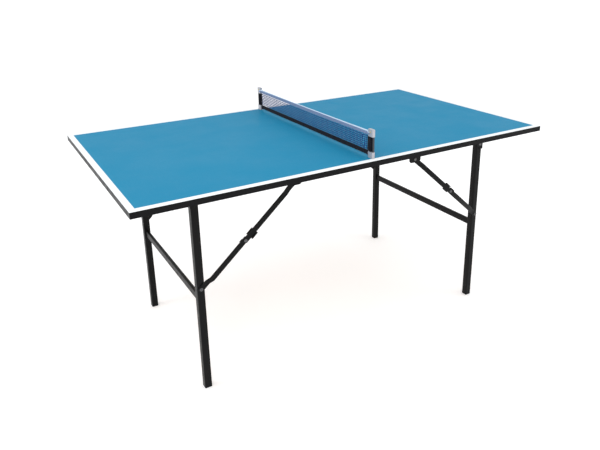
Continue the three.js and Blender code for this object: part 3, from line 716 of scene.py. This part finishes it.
def net_mesh(thread):
    """The square mesh of flat threads, from hem to hem and from tape to tape."""
    low, high = NET_BOX
    half = -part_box("net_sleeve_front")[1].y + NET_HIDDEN
    bottom, top = low.z - NET_HIDDEN, high.z + NET_HIDDEN
    columns, rows = round(2 * half / NET_CELL[0]), round((top - bottom) / NET_CELL[1])
    pitch_y, pitch_z = 2 * half / columns, (top - bottom) / rows
    width, thickness = NET_THREAD
    vertices, faces = [], []
    for i in range(columns):
        for k in range(rows):
            points, ring = cell_ring(i, k, width / 2 / pitch_y, width / 2 / pitch_z)
            faces += [[len(vertices) + n for n in quad] for quad in ring]
            for u, v in points:
                y, z = -half + u * pitch_y, bottom + v * pitch_z
                vertices.append((net_sway(y, z), y, z - net_sag(y) * v / rows))
    piece = link("net_threads", mesh_of("net_threads", vertices, faces), thread)
    solid = piece.modifiers.new("thickness", "SOLIDIFY")
    solid.thickness = thickness
    solid.offset = 0
    rounder = piece.modifiers.new("round", "SUBSURF")
    rounder.levels = rounder.render_levels = 1
    baked(piece)
    shaded(piece.data, 180)
    ride(piece, "net_set")
    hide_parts("net_mesh")
    threads_share = 1 - (1 - width / pitch_y) * (1 - width / pitch_z)
    return piece, (top - bottom, 2 * half), threads_share


def tape(name, node, cloth, section, follow):
    """A band swept along Y. section gives the points (x, z) round it at a place along Y, z from its foot."""
    low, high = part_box(node)
    steps = round((high.y - low.y) / (2 * MM))
    rings = []
    for i in range(steps + 1):
        y = low.y + (high.y - low.y) * i / steps
        sideways, upwards = follow(y)
        rings.append([(sideways + x, y, low.z + z + upwards) for x, z in section(y, high.z - low.z)])
    piece = link(name, loft(name, rings, angle=60), cloth)
    ride(piece, "net_set")
    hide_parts(node)
    return piece


def top_section(y, height):
    """Cloth folded over a cord: a bead along the top and two lips, puckered at the stitching."""
    pucker = 0.10 * MM * math.sin(2 * math.pi * y / STITCH_PITCH)
    lip = 0.85 * MM + pucker + 0.12 * MM * ripple((0, y, 0), 90)
    bead = [(x, height - BEAD_RADIUS + z) for x, z in arc(BEAD_RADIUS, -0.13, 0.63, 14)]
    right = [(0.62 * lip, 0), (lip, 0.5 * MM), (lip * 0.93, 1.6 * MM), (lip * 1.05, 0.55 * height)]
    left = [(-x, z) for x, z in reversed(right)]
    return [*right, *bead, *left]


def bottom_section(y, height):
    """A flat folded band with round edges, its lower edge a little uneven and pulled down at the posts."""
    half = 0.95 * MM + 0.14 * MM * ripple((0, y, 1), 60)
    from_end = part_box("net_bottom_tape")[1].y - abs(y)
    drop = 0.5 * MM * ripple((0, y, 2), 22) - 4 * MM * math.exp(-((from_end / (5 * MM)) ** 2))
    lower = [(x, drop + half + z) for x, z in arc(half, 0.5, 1, 6)]
    upper = [(x, height - half + z) for x, z in arc(half, 0, 0.5, 6)]
    seam = height - BOTTOM_SEAM[0]
    return [*lower, (half * 1.12, height * 0.35), (half * 0.86, seam), *upper, (-half * 0.86, seam),
            (-half * 1.12, height * 0.35)]


def stitch(bm, centre, side):
    """One stitch along Y, half sunk into the cloth on the given side of X."""
    rings = []
    for along, size in ((-0.5, 0.25), (-0.36, 0.8), (0, 1), (0.36, 0.8), (0.5, 0.25)):
        sink = side * STITCH_RADIUS * (1 - size) * 1.4
        middle = centre + Vector((-sink, along * STITCH_LENGTH, 0))
        ring = [bm.verts.new(middle + Vector((x, 0, z))) for x, z in arc(STITCH_RADIUS * size, 0, 5 / 6, 5)]
        rings.append(ring)
    for here, there in zip(rings, rings[1:]):
        for k in range(6):
            bm.faces.new([here[k], here[(k + 1) % 6], there[(k + 1) % 6], there[k]])
    bm.faces.new(rings[0])
    bm.faces.new(rings[-1])


def stitching(name, node, height_up, stand_out, follow, thread, slot_name):
    """A row of stitches along each face of a tape."""
    low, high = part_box(node)
    bm = bmesh.new()
    for i in range(int((high.y - low.y - 4 * MM) / STITCH_PITCH)):
        y = low.y + 3 * MM + STITCH_PITCH * (i + 0.5)
        sideways, upwards = follow(y)
        for side in (-1, 1):
            stitch(bm, Vector((sideways + side * stand_out, y, low.z + height_up + upwards)), side)
    bmesh.ops.recalc_face_normals(bm, faces=bm.faces)
    mesh = bpy.data.meshes.new(name)
    bm.to_mesh(mesh)
    bm.free()
    return ride(link(name, shaded(mesh, 60), thread), "net_set")


def hem(name, row, cloth):
    """The net's end hem: a cloth tube gathered round the post's rod, its flap stitched to the mesh."""
    low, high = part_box(f"net_sleeve_{row}")
    outward = -1 if row == "front" else 1
    radius = (high.x - low.x) / 2 - HEM_SLACK
    outer, inner = (low.y, high.y) if outward < 0 else (high.y, low.y)
    centre = outer - outward * (radius + HEM_SLACK)
    flap_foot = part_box("net_mesh")[0].z
    opening = math.asin(HEM_CLOTH / radius)
    rings = []
    steps = 32
    for i in range(steps + 1):
        share = i / steps
        z = low.z + (high.z - low.z) * share
        ring = []
        for k in range(41):
            turn = math.pi + opening * 1.6 + (2 * math.pi - 3.2 * opening) * k / 40
            folds = 0.25 * MM * math.sin(5 * turn + 3 * share + 2 * outward)
            folds += 0.8 * MM * ripple((math.cos(turn), math.sin(turn), share * 2.2), 1.7, 3 + outward)
            ends = 0.35 * MM * (math.exp(-share * 22) + math.exp(-(1 - share) * 22))
            reach = radius + min(folds, 0.35 * MM) - ends
            ring.append((reach * math.sin(turn), centre + outward * reach * math.cos(turn), z))
        reached = min(1, max(0, (z - flap_foot) / (1.5 * MM)))
        flap_end = inner + outward * (1 - reached) * abs(centre - inner) * 0.5
        sway = 0.5 * MM * math.sin(4 * share + outward)
        ring += [(HEM_CLOTH * 0.9, (centre - outward * radius + flap_end) / 2, z),
                 (sway + HEM_CLOTH * 0.8, flap_end + outward * 1.0 * MM, z),
                 (sway + HEM_CLOTH * 0.5, flap_end, z), (sway - HEM_CLOTH * 0.5, flap_end, z),
                 (sway - HEM_CLOTH * 0.8, flap_end + outward * 1.0 * MM, z),
                 (-HEM_CLOTH * 0.9, (centre - outward * radius + flap_end) / 2, z)]
        rings.append(ring)
    piece = link(name, loft(name, rings, angle=50), cloth)
    ride(piece, "net_set")
    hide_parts(f"net_sleeve_{row}")
    return piece


def end_tab(name, row, cloth):
    """The top tape's end, turned outwards and lapped on the side of the post's head."""
    outward = -1 if row == "front" else 1
    post_low, post_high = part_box(f"net_post_{row}")
    tape_low, tape_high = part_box("net_top_tape")
    face_x, inner = post_low.x, (post_high.y if outward < 0 else post_low.y)
    path = [(0.2 * face_x, inner - outward * 9 * MM), (0.55 * face_x, inner - outward * 4 * MM),
            (face_x - 0.6 * MM, inner - outward * 0.5 * MM), (face_x - 0.75 * MM, inner + outward * 3.5 * MM),
            (face_x - 0.6 * MM, inner + outward * 7.6 * MM)]
    rings = []
    for i, (x, y) in enumerate(path):
        x0, x1 = x - TAB_CLOTH, x + TAB_CLOTH
        z0 = tape_low.z + (2.2 + 0.55 * i) * MM
        z1 = tape_high.z - (1.0 + 0.35 * i) * MM
        rings.append([(x0, y, z0), (x1, y, z0), (x1, y, z1), (x0, y, z1)])
    piece = link(name, loft(name, rings, angle=60), cloth)
    bevel = piece.modifiers.new("bevel", "BEVEL")
    bevel.width = TAB_ROUNDING
    subdivision = piece.modifiers.new("subsurf", "SUBSURF")
    subdivision.levels = subdivision.render_levels = 2
    baked(piece)
    shaded(piece.data, 60)
    return ride(piece, "net_set")


def head_pin(name, row, brass):
    """A small domed pin in the side of a post's head."""
    low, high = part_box(f"net_post_{row}")
    place = Vector((low.x + PIN_SINK, (low.y + high.y) / 2, high.z - PIN_DROP))
    to_left = Matrix.Translation(place) @ Matrix.Rotation(-math.pi / 2, 4, "Y")
    radius, length = PIN_SHANK
    profile = [(0, -length), (radius, -length), (radius, 0), *domed(*PIN_HEAD)]
    piece = link(name, lathe(name, profile, to_left, segments=28), brass)
    ride(piece, "net_set")


def build_net():
    silver = silver_paint()
    brass = rivet_steel("brass_pin", (0.42, 0.36, 0.19), (0.62, 0.55, 0.33))
    dark, pale = dark_cloth(), pale_cloth()
    for row in ("front", "rear"):
        dress(f"net_post_{row}", silver, BLOCK_ROUNDING, segments=3)
        head_pin(f"net_post_pin_{row}", row, brass)
    hems = [hem(f"net_hem_{row}", row, dark) for row in ("front", "rear")]
    tabs = [end_tab(f"net_top_tab_{row}", row, pale) for row in ("front", "rear")]

    def along_top(y):
        return 0.0, -net_sag(y)

    def along_bottom(y):
        return 0.6 * MM * math.sin(y * 17 + 1) * (1 - (y / NET_BOX[1].y) ** 4), 0.0

    mesh, flat, share = net_mesh(net_thread())
    light_slot, dark_slot = "net_tape_light", "net_tape_dark"
    top = tape("net_top_band", "net_top_tape", pale, top_section, along_top)
    bottom = tape("net_bottom_band", "net_bottom_tape", dark, bottom_section, along_bottom)
    top_seam = stitching("net_top_stitches", "net_top_tape", *TOP_SEAM, along_top, pale, light_slot)
    low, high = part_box("net_bottom_tape")
    seam = (high.z - low.z - BOTTOM_SEAM[0], BOTTOM_SEAM[1])
    bottom_seam = stitching("net_bottom_stitches", "net_bottom_tape", *seam, along_bottom, dark, dark_slot)


# ---------------------------------------------------------------- the scene
place_camera()
build_studio()
build_top()
build_frames()
build_stays()
build_rivets()
build_screws()
build_net()
